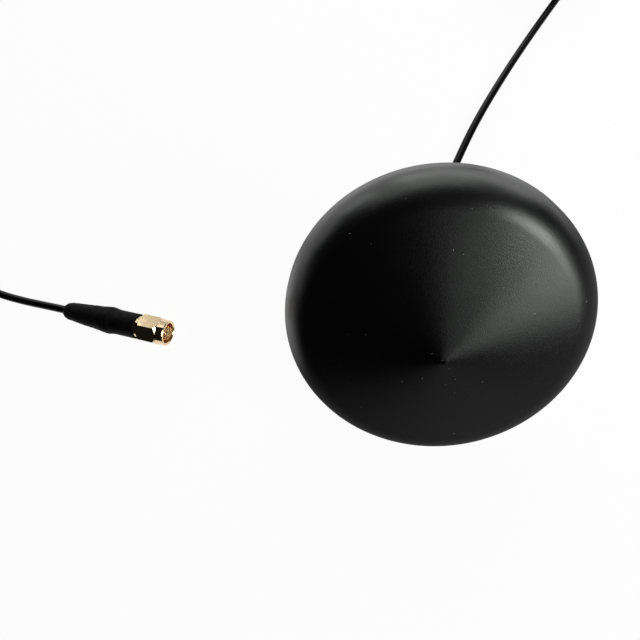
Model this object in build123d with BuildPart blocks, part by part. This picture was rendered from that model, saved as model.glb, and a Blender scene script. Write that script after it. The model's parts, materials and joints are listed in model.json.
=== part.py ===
"""Outdoor antenna: a low conical radome with a hollow mounting stud, and a thin coaxial lead
that ends in a screw-on coaxial plug. Sizes are in millimetres and +Z is up.

The antenna isn't fastened down. It lies as it comes to rest, on the foot of its radome and the
end of its stud, and the lead runs over the same surface, which is the plane Z = 0.
"""

import os
from math import atan2, cos, degrees, pi, radians, sin, sqrt, tan

from build123d import *

os.makedirs("parts", exist_ok=True)

# Radome: a thin shell of revolution with a conical roof over a short drafted wall
radome_radius = 37.5
cone_slope = 19.7
wall_draft = 10.5
shoulder_radius = 5.0
radome_wall = 2.5
tip_radius = 3.0
foot_round = 0.5
gate_radius = 0.55
gate_height = 0.15
roof_gap = 0.6
ledge_land = 0.5

# Base plate, set into a socket in the radome's foot
plate_thickness = 3.5
socket_wall = 2.2
plate_clearance = 0.2
plate_chamfer = 0.4
seal_thickness = 1.0
seal_boss_gap = 0.5

# Hollow threaded stud with a hexagonal head sunk into the base plate
stud_radius = 9.0
stud_bore = 4.0
stud_length = 25.5
stud_head_shoulder = 2.0
stud_head_thickness = 1.5
stud_clearance = 0.05
neck_step = 0.2
neck_length = 2.0

# Gasket between the base plate and the mounting panel
gasket_stud_gap = 1.2
gasket_screw_gap = 6.4
gasket_thickness = 2.0
gasket_sink = 0.8
gasket_bead = 0.6

# Screws that hold the base plate to bosses in the radome
cover_screw_inset = 5.6
cover_screw_count = 4
cover_screw_radius = 1.4
cover_screw_head = 2.6
cover_screw_length = 7.4
cover_screw_sink = 0.3
screw_clearance = 0.15
boss_radius = 3.0
recess_width = 0.6
recess_depth = 0.9

# Circuit board on posts of the base plate
board_edge_gap = 1.5
board_thickness = 1.0
post_radius = 2.5
board_screw_inset = 3.5
board_screw_count = 4
board_screw_radius = 1.0
board_screw_head = 1.9
board_screw_head_height = 1.3
board_screw_length = 4.4
board_hole_clearance = 0.1

# Ceramic patch, its pad and its feed pin
patch_side = 25.0
patch_thickness = 4.0
patch_corner = 0.6
pad_thickness = 0.3
pad_margin = 0.6
pin_radius = 0.45
pin_head_radius = 1.1
pin_head_height = 0.2
pin_offset = 2.4
pin_overhang = 0.6
pin_clearance = 0.15

# The lead and the shield can lie on one diagonal, between the posts
diagonal_turn = 45.0

# Shield can under the board
can_side = 12.0
can_height = 2.0
can_wall = 0.25
can_offset = 11.0

# Coaxial lead
cable_radius = 1.25
floor_gap = 0.05
exit_run = 2.9
inner_bend = 5.0
inner_reach = 12.0
board_gap = 0.95
coax_gap = 0.55
grommet_length = 8.0
grommet_clearance = 0.05
grommet_chamfer = 0.6
clip_width = 2.2
clip_wall = 0.3
clip_clearance = 0.05
clip_inset = 1.0
wire_radius = 0.25
wire_reach = 2.2
wire_bend = 0.8

# A bend of the lead reaches this share of its shorter run away from the corner
bend_share = 0.45

# Coil of the spare lead: rings side by side in layers
coil_centre = (36.16, 156.77)
coil_mid_radius = 15.03
coil_rings = 4
coil_layers = 4
turn_pitch = 2.55
coil_corner = 1.2
coil_turns = 15.335

# Tie round the coil
tie_angle = 215.0
tie_width = 3.6
tie_thickness = 0.45
tie_gap = 0.2
tie_head_width = 4.6
tie_head_depth = 3.2
tie_head_height = 3.4
tie_tail_length = 8.0
tie_tail_width = 2.6

# Plug at the end of the lead, laid on its sleeve's bulge
plug_place = (-110.67, 0.64)
plug_heading = -8.0
plug_pitch = 2.5
part_clearance = 0.05

# Crimped end of the lead
lead_overlap = 2.0
ferrule_start = 8.0
ferrule_overlap = 2.0
crimp_length = 4.0
core_radius = 0.75
shank_wall = 0.4
braid_thickness = 0.3
ferrule_wall = 0.5

# Plug body
body_radius = 3.45
collar_step = 0.25
collar_length = 2.2
flange_showing = 0.95
journal_length = 4.25
mating_stand = 1.0
barrel_wall = 0.2
groove_land = 0.1
ring_groove_depth = 0.4
insulator_radius = 2.05
insulator_length = 12.0
contact_radius = 0.64
contact_tail = 3.0
tip_reach = 2.0
tip_pin_radius = 0.45

# Heat-shrink sleeve: its wall over the lead, the ferrule, the collar and the body
sleeve_length = 25.5
mouth_wall = 0.5
neck_wall = 1.35
throat_wall = 1.65
waist_wall = 1.3
bulge_wall = 0.48
shoulder_drop = 0.4
barrel_wall_over = 0.38
mouth_length = 1.2
throat_length = 3.2
shoulder_lead = 1.4
bulge_lag = 1.9
barrel_lag = 2.2

# Coupling nut
nut_gap = 0.3
nut_flats = 8.0
nut_hex_length = 6.25
nut_length = 8.65
nut_barrel_step = 0.05
nut_turn = 34.0
nut_bevel = 25.0
nut_edge = 0.2
thread_step = 0.3
thread_inset = 3.65
running_clearance = 0.06

# Snap ring and weather gasket inside the nut
ring_inset = 1.5
ring_thickness = 0.7
ring_stand = 0.3
ring_gap = 1.4
weather_gasket_thickness = 0.6
weather_gasket_gap = 0.1

# Levels above the foot, measured along the antenna's axis
ledge_level = plate_thickness + seal_thickness
cable_level = plate_thickness + coax_gap + cable_radius
board_level = cable_level + cable_radius + board_gap
board_top = board_level + board_thickness
patch_level = board_top + pad_thickness
patch_top = patch_level + patch_thickness
cover_screw_top = cover_screw_sink + cover_screw_length

# Radii about the antenna's axis, from the rim inward
socket_radius = radome_radius - socket_wall
plate_radius = socket_radius - plate_clearance
cover_screw_circle = plate_radius - cover_screw_inset
seal_inner = cover_screw_circle + boss_radius + seal_boss_gap
board_radius = cover_screw_circle - boss_radius - board_edge_gap
board_screw_circle = board_radius - board_screw_inset
gasket_outer = cover_screw_circle - cover_screw_head - gasket_screw_gap
neck_radius = stud_radius + neck_step
gasket_inner = stud_radius + gasket_stud_gap
patch_reach = (patch_side / 2 - patch_corner) * sqrt(2) + patch_corner

# Radii about the plug's axis, from the lead outward
shank_radius = core_radius + part_clearance + shank_wall
braid_radius = shank_radius + braid_thickness
ferrule_radius = braid_radius + ferrule_wall
barrel_radius = insulator_radius + part_clearance + barrel_wall
groove_radius = barrel_radius + groove_land
journal_radius = groove_radius + ring_groove_depth
ring_radius = journal_radius + ring_stand
thread_radius = journal_radius + thread_step
collar_radius = body_radius + collar_step
sleeve_bulge = collar_radius + part_clearance + bulge_wall
sleeve_barrel = body_radius + part_clearance + barrel_wall_over

# Places along the plug's axis, from the sleeve's mouth onward
jacket_end = ferrule_start + ferrule_overlap
crimp_end = jacket_end + crimp_length
collar_end = crimp_end + collar_length
shoulder_at = crimp_end - shoulder_lead
bulge_at = crimp_end + bulge_lag
barrel_at = collar_end + barrel_lag
flange_end = sleeve_length + flange_showing
nut_start = flange_end + nut_gap
hex_end = nut_start + nut_hex_length
nut_end = nut_start + nut_length
ring_start = nut_start + ring_inset
ring_end = ring_start + ring_thickness
thread_start = nut_start + thread_inset
journal_end = nut_start + journal_length
mating_plane = journal_end + mating_stand
insulator_start = mating_plane - insulator_length
contact_start = insulator_start - contact_tail

# The roof clears the patch's corners, and leaves the inner rounding its room above the ledge
draft_tan = tan(radians(wall_draft))
slope_tan = tan(radians(cone_slope))
inner_round = shoulder_radius - radome_wall
round_run = inner_round * tan(radians(90 - wall_draft - cone_slope) / 2) * cos(radians(wall_draft))
corner_need = ledge_level + ledge_land + round_run
inner_rim = radome_radius - radome_wall / cos(radians(wall_draft)) - corner_need * draft_tan
roof_over_patch = patch_top + roof_gap + patch_reach * slope_tan
roof_over_ledge = corner_need + inner_rim * slope_tan
radome_height = max(roof_over_patch, roof_over_ledge) + radome_wall / cos(radians(cone_slope))

# The antenna leans until its foot and the end of its stud both touch the surface
lean = degrees(atan2(stud_length, radome_radius - stud_radius))
lean_sin = sin(radians(lean))
lean_cos = cos(radians(lean))
base_height = radome_radius * lean_sin - foot_round * (lean_sin + lean_cos - 1)


def surface(inset):
    """Foot radius, shoulder corner and apex height of the radome's skin moved inward by inset."""
    foot = radome_radius - inset / cos(radians(wall_draft))
    apex = radome_height - inset / cos(radians(cone_slope))
    rise = (apex - foot * slope_tan) / (1 - draft_tan * slope_tan)
    return foot, (foot - rise * draft_tan, rise), apex


def reach_along(side):
    """Furthest reach of the leaning outline along Y, on the low side (-1) or the high side (1)."""
    shoulder_centre = surface(shoulder_radius)[1]
    shoulder = side * shoulder_centre[0] * lean_cos - shoulder_centre[1] * lean_sin
    foot = side * (radome_radius - foot_round) * lean_cos - foot_round * lean_sin
    return side * max(side * shoulder + shoulder_radius, side * foot + foot_round)


# Centring the leaning antenna puts its bounding box astride the origin
base_shift = -(reach_along(-1) + reach_along(1)) / 2

antenna = Plane(origin=(0, base_shift, base_height), x_dir=(1, 0, 0), z_dir=(0, -lean_sin, lean_cos))
antenna_section = Plane(origin=antenna.origin, x_dir=antenna.x_dir, z_dir=-antenna.y_dir)
antenna_axis = Axis(antenna.origin, antenna.z_dir)
diagonal_out = antenna.x_dir * cos(radians(diagonal_turn)) + antenna.y_dir * sin(radians(diagonal_turn))
diagonal = Plane(origin=antenna.origin, x_dir=diagonal_out, z_dir=antenna.z_dir)
diagonal_section = Plane(origin=diagonal.origin, x_dir=diagonal.x_dir, z_dir=-diagonal.y_dir)

plug_height = floor_gap + sleeve_bulge * cos(radians(plug_pitch)) - bulge_at * sin(radians(plug_pitch))
plug_direction = Vector(
    cos(radians(plug_pitch)) * cos(radians(plug_heading)),
    cos(radians(plug_pitch)) * sin(radians(plug_heading)),
    sin(radians(plug_pitch)),
)
plug = Plane(
    origin=(*plug_place, plug_height),
    x_dir=(-sin(radians(plug_heading)), cos(radians(plug_heading)), 0),
    z_dir=plug_direction,
)
plug_section = Plane(origin=plug.origin, x_dir=plug.x_dir, z_dir=-plug.y_dir)
plug_axis = Axis(plug.origin, plug.z_dir)

# Cavity of the radome: the inner skin, the socket for the plate, and the bosses left standing
with BuildPart() as cavity:
    inner_foot, inner_corner, inner_apex = surface(radome_wall)
    with BuildSketch(antenna_section):
        with BuildLine():
            Polyline(
                (0, ledge_level),
                (inner_foot - ledge_level * draft_tan, ledge_level),
                inner_corner,
                (0, inner_apex),
                close=True,
            )
        make_face()
        inner_vertex = vertices().sort_by_distance((*inner_corner, 0))[0]
        fillet(inner_vertex, inner_round)
    revolve(axis=antenna_axis)
    with BuildSketch(antenna.offset(plate_thickness)):
        with PolarLocations(cover_screw_circle, cover_screw_count, start_angle=45):
            Circle(boss_radius)
    extrude(amount=radome_height, mode=Mode.SUBTRACT)
    with BuildSketch(antenna):
        Circle(socket_radius)
    extrude(amount=plate_thickness)
    with BuildSketch(antenna.offset(plate_thickness)):
        Circle(socket_radius)
        with PolarLocations(cover_screw_circle, cover_screw_count, start_angle=45):
            Circle(boss_radius, mode=Mode.SUBTRACT)
    extrude(amount=seal_thickness)
    with BuildSketch(antenna.offset(plate_thickness)):
        with PolarLocations(cover_screw_circle, cover_screw_count, start_angle=45):
            Circle(cover_screw_radius)
    extrude(amount=cover_screw_top + screw_clearance - plate_thickness)

# Radome: the outer skin less the cavity, with the mould gate's mark at its tip
with BuildPart() as radome:
    outer_foot, outer_corner, outer_apex = surface(0)
    tip_centre = outer_apex - tip_radius / cos(radians(cone_slope))
    tip_edge = (
        tip_radius * sin(radians(cone_slope)),
        tip_centre + tip_radius * cos(radians(cone_slope)),
    )
    tip_middle = (
        tip_radius * sin(radians(cone_slope / 2)),
        tip_centre + tip_radius * cos(radians(cone_slope / 2)),
    )
    with BuildSketch(antenna_section):
        with BuildLine():
            Polyline((0, tip_centre + tip_radius), (0, 0), (outer_foot, 0), outer_corner, tip_edge)
            ThreePointArc(tip_edge, tip_middle, (0, tip_centre + tip_radius))
        make_face()
        corner_vertex = vertices().sort_by_distance((*outer_corner, 0))[0]
        fillet(corner_vertex, shoulder_radius)
        foot_vertex = vertices().sort_by_distance((outer_foot, 0, 0))[0]
        fillet(foot_vertex, foot_round)
    revolve(axis=antenna_axis)
    with BuildSketch(antenna.offset(tip_centre)):
        Circle(gate_radius)
    extrude(amount=tip_radius + gate_height)
    add(cavity.part, mode=Mode.SUBTRACT)
radome.part.label = "radome"
export_step(radome.part, "parts/radome.step")

# Base plate: a cast disc with posts, a seat for the stud's head and a groove for the gasket
with BuildPart() as base_plate:
    with BuildSketch(antenna):
        Circle(plate_radius)
    extrude(amount=plate_thickness)
    chamfer(edges().filter_by(GeomType.CIRCLE).sort_by(antenna_axis), plate_chamfer)
    with BuildSketch(antenna.offset(plate_thickness)):
        with PolarLocations(board_screw_circle, board_screw_count):
            Circle(post_radius)
    extrude(amount=board_level - plate_thickness)
    with BuildSketch(antenna.offset(plate_thickness - stud_head_thickness)):
        RegularPolygon(stud_radius + stud_head_shoulder + stud_clearance, 6, major_radius=False)
    extrude(amount=stud_head_thickness, mode=Mode.SUBTRACT)
    with BuildSketch(antenna):
        Circle(neck_radius + stud_clearance)
    extrude(amount=plate_thickness, mode=Mode.SUBTRACT)
    with BuildSketch(antenna):
        Circle(gasket_outer + part_clearance)
        Circle(gasket_inner - part_clearance, mode=Mode.SUBTRACT)
    extrude(amount=gasket_sink, mode=Mode.SUBTRACT)
    with BuildSketch(antenna.offset(board_level - board_screw_length)):
        with PolarLocations(board_screw_circle, board_screw_count):
            Circle(board_screw_radius)
    extrude(amount=board_screw_length, mode=Mode.SUBTRACT)
    with Locations(antenna):
        with PolarLocations(cover_screw_circle, cover_screw_count, start_angle=45):
            with Locations(Rotation(180, 0, 0)):
                CounterSinkHole(
                    cover_screw_radius + screw_clearance,
                    cover_screw_head + cover_screw_sink + screw_clearance,
                    depth=plate_thickness,
                    counter_sink_angle=90,
                )
base_plate.part.label = "base_plate"
export_step(base_plate.part, "parts/base_plate.step")

# Flat seal between the plate's rim and the ledge inside the radome
with BuildPart() as cover_seal:
    with BuildSketch(antenna.offset(plate_thickness)):
        Circle(plate_radius - plate_chamfer)
        Circle(seal_inner, mode=Mode.SUBTRACT)
    extrude(amount=seal_thickness)
cover_seal.part.label = "cover_seal"
export_step(cover_seal.part, "parts/cover_seal.step")

# Countersunk screws, driven from below into the radome's bosses
with BuildPart() as cover_screws:
    with BuildSketch(antenna.offset(cover_screw_sink)):
        with PolarLocations(cover_screw_circle, cover_screw_count, start_angle=45):
            Circle(cover_screw_radius)
    extrude(amount=cover_screw_length)
    with Locations(antenna.offset(cover_screw_sink + (cover_screw_head - cover_screw_radius) / 2)):
        with PolarLocations(cover_screw_circle, cover_screw_count, start_angle=45):
            Cone(cover_screw_head, cover_screw_radius, cover_screw_head - cover_screw_radius)
    with BuildSketch(antenna.offset(cover_screw_sink)):
        with PolarLocations(cover_screw_circle, cover_screw_count, start_angle=45):
            Rectangle(cover_screw_head, recess_width)
            Rectangle(recess_width, cover_screw_head)
    extrude(amount=recess_depth, mode=Mode.SUBTRACT)
cover_screws.part.label = "cover_screws"
export_step(cover_screws.part, "parts/cover_screws.step")

# Threaded stud: a hollow bolt with a plain neck, whose hexagonal head sits flush in the plate
with BuildPart() as threaded_stud:
    with BuildSketch(antenna.offset(-stud_length)):
        Circle(stud_radius)
    extrude(amount=stud_length)
    with BuildSketch(antenna.offset(-neck_length)):
        Circle(neck_radius)
    extrude(amount=neck_length + plate_thickness)
    with BuildSketch(antenna.offset(plate_thickness - stud_head_thickness)):
        RegularPolygon(stud_radius + stud_head_shoulder, 6, major_radius=False)
    extrude(amount=stud_head_thickness)
    with BuildSketch(antenna.offset(-stud_length)):
        Circle(stud_bore)
    extrude(amount=stud_length + plate_thickness, mode=Mode.SUBTRACT)
    end_rims = edges().filter_by(GeomType.CIRCLE).group_by(antenna_axis)[0].sort_by(SortBy.RADIUS)
    fillet(end_rims[-1], foot_round)
threaded_stud.part.label = "threaded_stud"
export_step(threaded_stud.part, "parts/threaded_stud.step")

# Gasket against the mounting panel, with one raised bead
with BuildPart() as panel_gasket:
    with BuildSketch(antenna.offset(gasket_sink - gasket_thickness)):
        Circle(gasket_outer)
        Circle(gasket_inner, mode=Mode.SUBTRACT)
    extrude(amount=gasket_thickness)
    bead_circle = (gasket_inner + gasket_outer) / 2
    with BuildSketch(antenna_section):
        with Locations((bead_circle, gasket_sink - gasket_thickness)):
            Circle(gasket_bead)
    revolve(axis=antenna_axis)
panel_gasket.part.label = "panel_gasket"
export_step(panel_gasket.part, "parts/panel_gasket.step")

# Circuit board with holes for its screws and for the feed pin
with BuildPart() as circuit_board:
    with BuildSketch(antenna.offset(board_level)):
        Circle(board_radius)
        with PolarLocations(board_screw_circle, board_screw_count):
            Circle(board_screw_radius + board_hole_clearance, mode=Mode.SUBTRACT)
        with Locations((0, pin_offset)):
            Circle(pin_radius + pin_clearance, mode=Mode.SUBTRACT)
    extrude(amount=board_thickness)
circuit_board.part.label = "circuit_board"
export_step(circuit_board.part, "parts/circuit_board.step")

# Pan-head screws through the board into the posts
with BuildPart() as board_screws:
    with BuildSketch(antenna.offset(board_level - board_screw_length)):
        with PolarLocations(board_screw_circle, board_screw_count):
            Circle(board_screw_radius)
    extrude(amount=board_screw_length + board_thickness)
    with BuildSketch(antenna.offset(board_top)):
        with PolarLocations(board_screw_circle, board_screw_count):
            Circle(board_screw_head)
    extrude(amount=board_screw_head_height)
    fillet(edges().filter_by(GeomType.CIRCLE).group_by(antenna_axis)[-1], board_screw_head_height / 2)
board_screws.part.label = "board_screws"
export_step(board_screws.part, "parts/board_screws.step")

# Adhesive pad under the patch
with BuildPart() as patch_pad:
    with BuildSketch(antenna.offset(board_top)):
        RectangleRounded(patch_side - 2 * pad_margin, patch_side - 2 * pad_margin, patch_corner)
        with Locations((0, pin_offset)):
            Circle(pin_radius + pin_clearance, mode=Mode.SUBTRACT)
    extrude(amount=pad_thickness)
patch_pad.part.label = "patch_pad"
export_step(patch_pad.part, "parts/patch_pad.step")

# Ceramic patch element
with BuildPart() as patch_element:
    with BuildSketch(antenna.offset(patch_level)):
        RectangleRounded(patch_side, patch_side, patch_corner)
        with Locations((0, pin_offset)):
            Circle(pin_radius + pin_clearance, mode=Mode.SUBTRACT)
    extrude(amount=patch_thickness)
patch_element.part.label = "patch_element"
export_step(patch_element.part, "parts/patch_element.step")

# Feed pin: its head lies on the patch, its foot stands out under the board
with BuildPart() as feed_pin:
    with BuildSketch(antenna.offset(board_level - pin_overhang)):
        with Locations((0, pin_offset)):
            Circle(pin_radius)
    extrude(amount=patch_top - board_level + pin_overhang)
    with BuildSketch(antenna.offset(patch_top)):
        with Locations((0, pin_offset)):
            Circle(pin_head_radius)
    extrude(amount=pin_head_height)
feed_pin.part.label = "feed_pin"
export_step(feed_pin.part, "parts/feed_pin.step")

# Shield can: a folded tin box, open towards the board
with BuildPart() as shield_can:
    with BuildSketch(diagonal.offset(board_level - can_height)):
        with Locations((-can_offset, 0)):
            Rectangle(can_side, can_side)
    extrude(amount=can_height)
    with BuildSketch(diagonal.offset(board_level - can_height + can_wall)):
        with Locations((-can_offset, 0)):
            Rectangle(can_side - 2 * can_wall, can_side - 2 * can_wall)
    extrude(amount=can_height - can_wall, mode=Mode.SUBTRACT)
shield_can.part.label = "shield_can"
export_step(shield_can.part, "parts/shield_can.step")

# Lead inside the antenna: up the stud's bore, then along under the board
with BuildPart() as inner_coax:
    with BuildLine(diagonal_section) as inner_route:
        FilletPolyline((0, -stud_length), (0, cable_level), (inner_reach, cable_level), radius=inner_bend)
    with BuildSketch(antenna.offset(-stud_length)):
        Circle(cable_radius)
    sweep(path=inner_route.wires()[0])
inner_coax.part.label = "inner_coax"
export_step(inner_coax.part, "parts/inner_coax.step")

# Inner conductor, bent up to its pad on the board
with BuildPart() as centre_wire:
    with BuildLine(diagonal_section) as wire_route:
        FilletPolyline(
            (inner_reach, cable_level),
            (inner_reach + wire_reach, cable_level),
            (inner_reach + wire_reach, board_level),
            radius=wire_bend,
        )
    with BuildSketch(Plane(wire_route.line @ 0, z_dir=wire_route.line % 0)):
        Circle(wire_radius)
    sweep(path=wire_route.wires()[0])
centre_wire.part.label = "centre_wire"
export_step(centre_wire.part, "parts/centre_wire.step")

# Braid clip: a bent strap that holds the lead's screen against the board
clip_radius = cable_radius + clip_clearance
clip_plane = Plane(
    origin=diagonal.from_local_coords((inner_reach - clip_inset - clip_width, 0, cable_level)),
    x_dir=diagonal.y_dir,
    z_dir=diagonal.x_dir,
)
with BuildPart() as braid_clip:
    with BuildSketch(clip_plane):
        Circle(clip_radius + clip_wall)
        with Locations((0, (board_level - cable_level) / 2)):
            Rectangle(2 * (clip_radius + clip_wall), board_level - cable_level)
        Circle(clip_radius, mode=Mode.SUBTRACT)
        with Locations((0, (board_level - cable_level) / 2)):
            Rectangle(2 * clip_radius, board_level - cable_level, mode=Mode.SUBTRACT)
    extrude(amount=clip_width)
braid_clip.part.label = "braid_clip"
export_step(braid_clip.part, "parts/braid_clip.step")

# Rubber bush that seals the lead in the end of the stud
with BuildPart() as cable_grommet:
    with BuildSketch(antenna.offset(-stud_length)):
        Circle(stud_bore - grommet_clearance)
        Circle(cable_radius + grommet_clearance, mode=Mode.SUBTRACT)
    extrude(amount=grommet_length)
    chamfer(
        edges().filter_by(GeomType.CIRCLE).group_by(antenna_axis)[0].sort_by(SortBy.RADIUS)[-1],
        grommet_chamfer,
    )
cable_grommet.part.label = "cable_grommet"
export_step(cable_grommet.part, "parts/cable_grommet.step")

# Route of the lead from the stud to the coil, and from the coil to the plug
floor_level = cable_radius + floor_gap
coil_lift = floor_gap + tie_thickness + tie_gap
coil_outer_ring = coil_mid_radius + (coil_rings - 1) / 2 * turn_pitch
bottom_layer = coil_lift + cable_radius
top_layer = bottom_layer + (coil_layers - 1) * turn_pitch

lead_route = [
    antenna.from_local_coords((0, 0, -stud_length)),
    antenna.from_local_coords((0, 0, -stud_length - exit_run)),
    (0.02, 23.52, 2.10),
    (0.15, 26.30, floor_level),
    (1.1, 32.2, floor_level),
    (3.3, 41.5, floor_level),
    (6.3, 52.0, floor_level),
    (9.9, 62.8, floor_level),
    (15.2, 77.2, floor_level),
    (22.1, 92.2, floor_level),
    (29.7, 107.2, floor_level),
    (37.9, 122.2, floor_level),
    (46.2, 136.7, floor_level + 0.1),
    (52.4, 147.2, bottom_layer),
]

tail_route = [
    (coil_centre[0], coil_centre[1] + coil_outer_ring, top_layer),
    (27.0, 175.6, 8.9),
    (15.5, 174.9, 5.7),
    (3.5, 173.4, 2.4),
    (-9.0, 171.0, floor_level),
    (-27.0, 166.6, floor_level),
    (-48.0, 160.6, floor_level),
    (-72.0, 154.6, floor_level),
    (-98.0, 150.2, floor_level),
    (-124.0, 147.6, floor_level),
    (-145.0, 146.8, floor_level),
    (-158.5, 144.0, floor_level),
    (-170.5, 136.5, floor_level),
    (-178.0, 125.0, floor_level),
    (-181.0, 111.5, floor_level),
    (-180.0, 97.5, floor_level),
    (-175.5, 79.5, floor_level),
    (-168.8, 58.0, floor_level),
    (-162.0, 37.5, floor_level),
    (-156.2, 23.6, floor_level),
    (-150.6, 13.2, floor_level),
    (-143.5, 6.9, floor_level),
    (-135.2, 4.35, floor_level),
    (-127.2, 3.0, floor_level),
    (-120.6, 2.05, 2.2),
    (-114.6, 1.19, 3.42),
    plug.from_local_coords((0, 0, lead_overlap)),
]


def corner_radii(points):
    """Radius of the tube's bend at each corner of a route, as large as its two runs allow."""
    places = [Vector(point) for point in points]
    radii = []
    for before, corner, after in zip(places, places[1:], places[2:]):
        turn = (corner - before).get_angle(after - corner)
        shorter_run = min((corner - before).length, (after - corner).length)
        radii.append(bend_share * shorter_run / tan(radians(turn / 2)))
    return radii


# Tube from the stud's end to the coil
lead_radii = corner_radii(lead_route)
with BuildPart() as cable_lead:
    with BuildLine() as lead_line:
        FilletPolyline(*lead_route, radius=lead_radii)
    with BuildSketch(Plane(lead_line.line @ 0, z_dir=lead_line.line % 0)):
        Circle(cable_radius)
    sweep(path=lead_line.wires()[0])
cable_lead.part.label = "cable_lead"
export_step(cable_lead.part, "parts/cable_lead.step")

# Tube from the coil to the plug
tail_radii = corner_radii(tail_route)
with BuildPart() as cable_tail:
    with BuildLine() as tail_line:
        FilletPolyline(*tail_route, radius=tail_radii)
    with BuildSketch(Plane(tail_line.line @ 0, z_dir=tail_line.line % 0)):
        Circle(cable_radius)
    sweep(path=tail_line.wires()[0])
cable_tail.part.label = "cable_tail"
export_step(cable_tail.part, "parts/cable_tail.step")

# Coil: the outer shape of the bundle of turns
bundle_width = (coil_rings - 1) * turn_pitch + 2 * cable_radius
bundle_height = (coil_layers - 1) * turn_pitch + 2 * cable_radius
bundle_middle = coil_lift + bundle_height / 2
coil_origin = (*coil_centre, 0)
with BuildPart() as cable_coil:
    with BuildSketch(Plane(origin=coil_origin, x_dir=(1, 0, 0), z_dir=(0, -1, 0))):
        with Locations((coil_mid_radius, bundle_middle)):
            RectangleRounded(bundle_width, bundle_height, coil_corner)
    revolve(axis=Axis(coil_origin, (0, 0, 1)))
cable_coil.part.label = "cable_coil"
export_step(cable_coil.part, "parts/cable_coil.step")

# Cable tie: a strap round the bundle, with its head and cut tail on the outside
tie_out = (cos(radians(tie_angle)), sin(radians(tie_angle)), 0)
tie_inner_width = bundle_width + 2 * tie_gap
tie_inner_height = bundle_height + 2 * tie_gap
tie_plane = Plane(
    origin=(
        coil_centre[0] + coil_mid_radius * tie_out[0],
        coil_centre[1] + coil_mid_radius * tie_out[1],
        bundle_middle,
    ),
    x_dir=tie_out,
    z_dir=(tie_out[1], -tie_out[0], 0),
)
head_reach = tie_inner_width / 2 + tie_head_depth / 2
with BuildPart() as coil_tie:
    with BuildSketch(tie_plane):
        RectangleRounded(
            tie_inner_width + 2 * tie_thickness,
            tie_inner_height + 2 * tie_thickness,
            coil_corner + tie_thickness,
        )
        RectangleRounded(tie_inner_width, tie_inner_height, coil_corner, mode=Mode.SUBTRACT)
    extrude(amount=tie_width / 2, both=True)
    with BuildSketch(tie_plane):
        with Locations((head_reach, 0)):
            RectangleRounded(tie_head_depth, tie_head_height, tie_thickness)
    extrude(amount=tie_head_width / 2, both=True)
    with BuildSketch(tie_plane):
        with Locations((head_reach, (tie_head_height + tie_tail_length) / 2)):
            Rectangle(tie_thickness, tie_tail_length)
    extrude(amount=tie_tail_width / 2, both=True)
coil_tie.part.label = "coil_tie"
export_step(coil_tie.part, "parts/coil_tie.step")

# Heat-shrink sleeve: outside, a conical mouth, then a smooth taper with a bulge over the collar
with BuildPart() as heat_shrink_sleeve:
    with BuildSketch(plug_section):
        with BuildLine():
            Polyline(
                (0, sleeve_length),
                (0, 0),
                (cable_radius + mouth_wall, 0),
                (cable_radius + neck_wall, mouth_length),
            )
            Spline(
                (cable_radius + neck_wall, mouth_length),
                (cable_radius + throat_wall, throat_length),
                (ferrule_radius + waist_wall, (mouth_length + shoulder_at) / 2),
                (sleeve_bulge - shoulder_drop, shoulder_at),
                (sleeve_bulge, bulge_at),
                (sleeve_barrel, barrel_at),
                tangents=((throat_wall - neck_wall, throat_length - mouth_length), (0, 1)),
            )
            Polyline((sleeve_barrel, barrel_at), (sleeve_barrel, sleeve_length), (0, sleeve_length))
        make_face()
    revolve(axis=plug_axis)
    with BuildSketch(plug_section):
        with BuildLine():
            Polyline(
                (0, -part_clearance),
                (cable_radius + part_clearance, -part_clearance),
                (cable_radius + part_clearance, ferrule_start),
                (ferrule_radius + part_clearance, ferrule_start),
                (ferrule_radius + part_clearance, crimp_end),
                (collar_radius + part_clearance, crimp_end),
                (collar_radius + part_clearance, collar_end),
                (body_radius + part_clearance, collar_end),
                (body_radius + part_clearance, sleeve_length),
                (0, sleeve_length),
                close=True,
            )
        make_face()
    revolve(axis=plug_axis, mode=Mode.SUBTRACT)
heat_shrink_sleeve.part.label = "heat_shrink_sleeve"
export_step(heat_shrink_sleeve.part, "parts/heat_shrink_sleeve.step")

# End of the lead inside the sleeve, still in its jacket
with BuildPart() as cable_end:
    with BuildSketch(plug.offset(lead_overlap)):
        Circle(cable_radius)
    extrude(amount=jacket_end - lead_overlap)
cable_end.part.label = "cable_end"
export_step(cable_end.part, "parts/cable_end.step")

# Screen of the lead, folded back over the plug body's shank
with BuildPart() as cable_braid:
    with BuildSketch(plug.offset(jacket_end)):
        Circle(braid_radius - part_clearance)
        Circle(shank_radius + part_clearance, mode=Mode.SUBTRACT)
    extrude(amount=crimp_end - jacket_end)
cable_braid.part.label = "cable_braid"
export_step(cable_braid.part, "parts/cable_braid.step")

# Insulated core of the lead, inside the shank
with BuildPart() as cable_core:
    with BuildSketch(plug.offset(jacket_end)):
        Circle(core_radius)
    extrude(amount=contact_start - jacket_end)
cable_core.part.label = "cable_core"
export_step(cable_core.part, "parts/cable_core.step")

# Crimp ferrule: a plain tube squeezed over the screen
with BuildPart() as crimp_ferrule:
    with BuildSketch(plug.offset(ferrule_start)):
        Circle(ferrule_radius)
        Circle(braid_radius, mode=Mode.SUBTRACT)
    extrude(amount=crimp_end - ferrule_start)
    chamfer(edges().filter_by(GeomType.CIRCLE).sort_by(SortBy.RADIUS)[-2:], ferrule_wall / 3)
crimp_ferrule.part.label = "crimp_ferrule"
export_step(crimp_ferrule.part, "parts/crimp_ferrule.step")

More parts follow.
